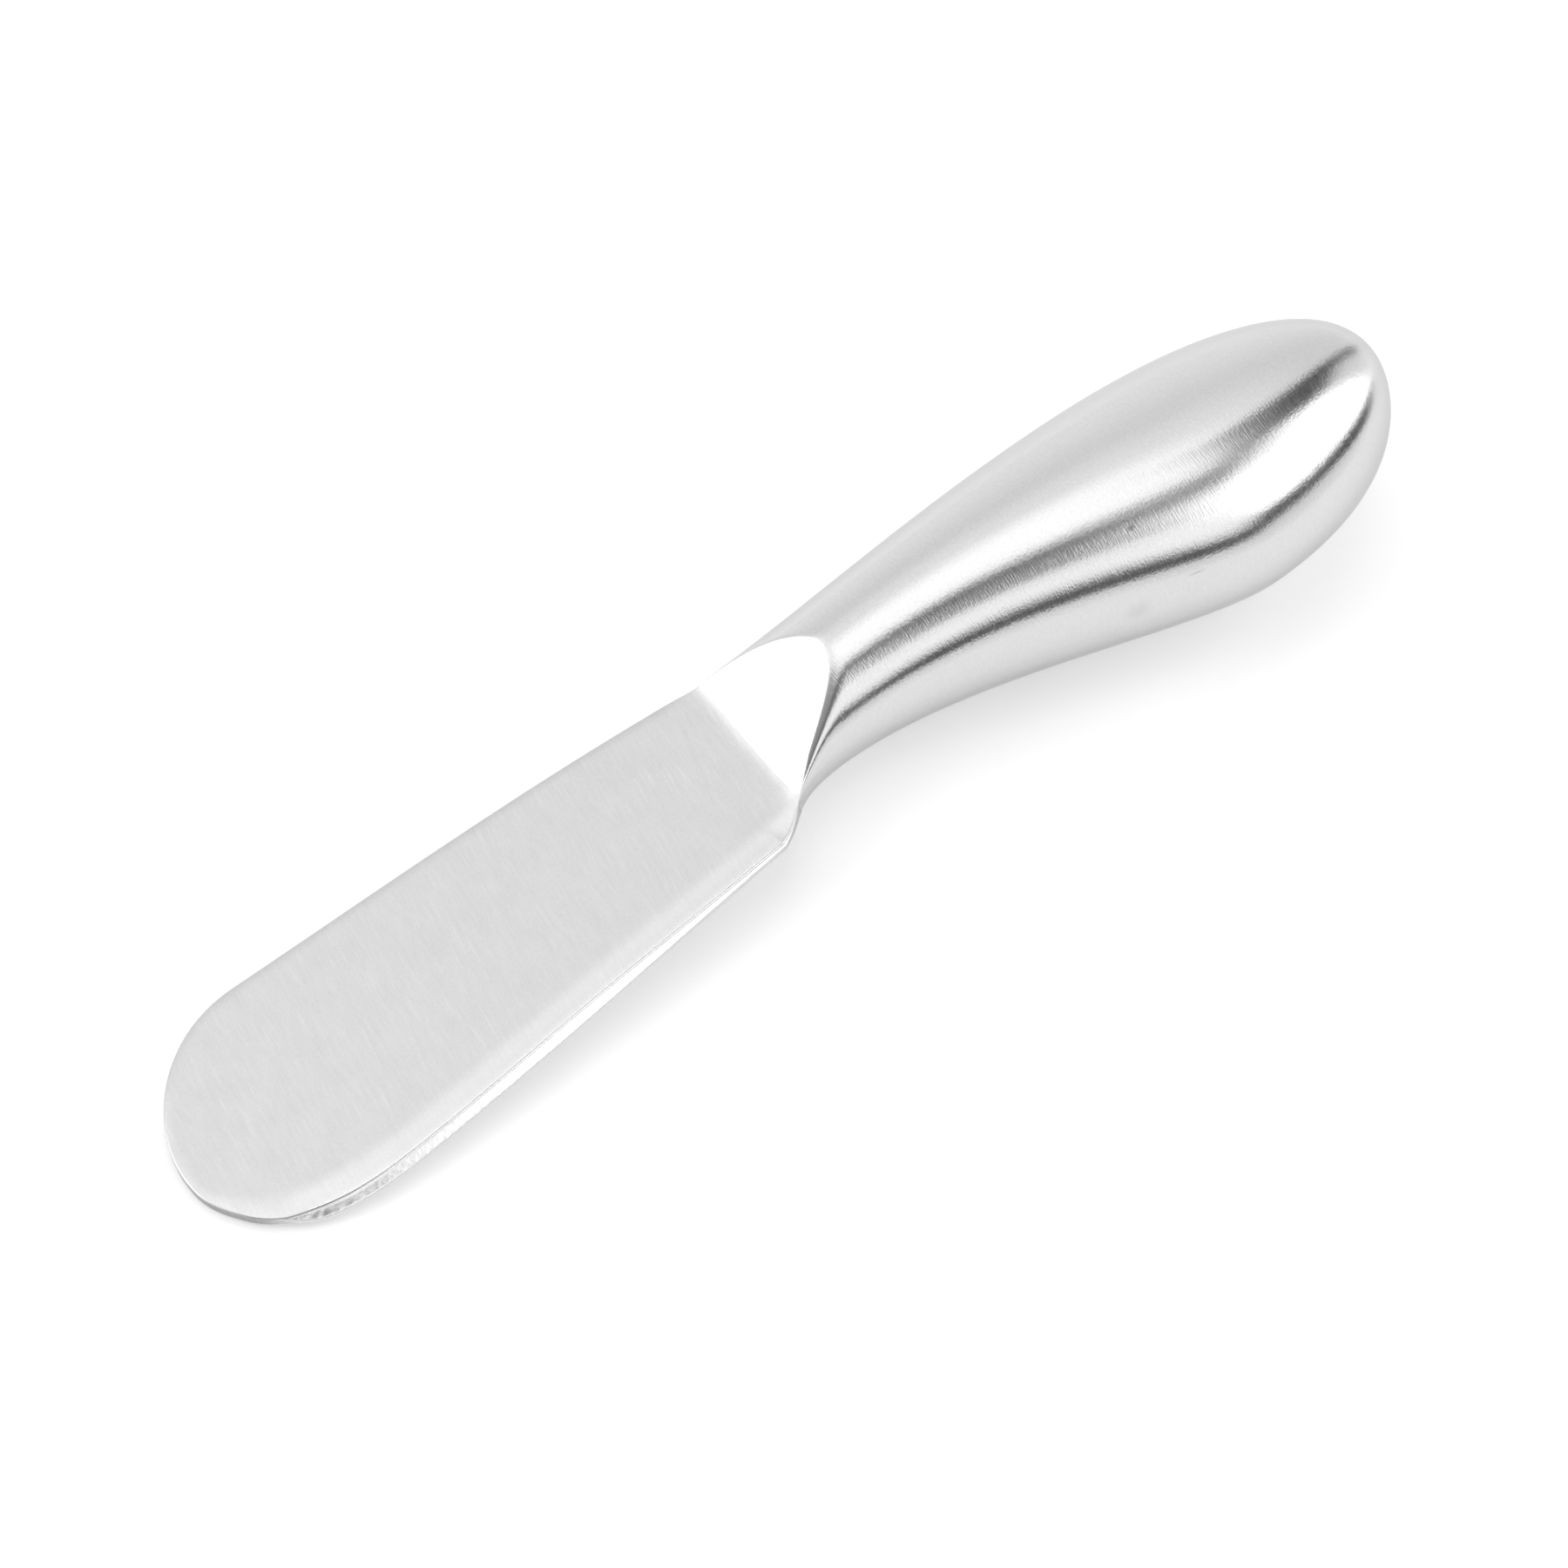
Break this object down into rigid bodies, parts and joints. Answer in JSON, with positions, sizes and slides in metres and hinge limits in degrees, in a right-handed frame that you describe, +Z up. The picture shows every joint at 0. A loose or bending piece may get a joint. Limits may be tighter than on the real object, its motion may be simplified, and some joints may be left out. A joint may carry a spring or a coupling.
{
  "type": "cheese spreader",
  "caption": "Satin stainless cheese spreader: flat round-tipped blade, plane ramps at the neck and a plump hollow handle, lying on its blade tip and handle.",
  "frame": {"origin": "on the table, under the centre of the spreader's box as it lies at rest on its blade tip and handle", "axes": "+X along the spreader from the blade's tip to the butt of the handle, +Y towards the straight back edge, +Z up from the table"},
  "size_m": [0.1354, 0.0252, 0.0209],
  "materials": {
    "blade_steel": "satin, brushed across the blade",
    "handle_steel": "fine satin, polished round the handle",
    "cement": "set resin filling, dull",
    "braze": "as brazed, dull"
  },
  "bodies": {
    "root": {"blade": "blade_steel", "upper_handle_shell": "handle_steel", "lower_handle_shell": "handle_steel", "tang_cement": "cement", "seam_braze": "braze"}
  },
  "joints": []
}
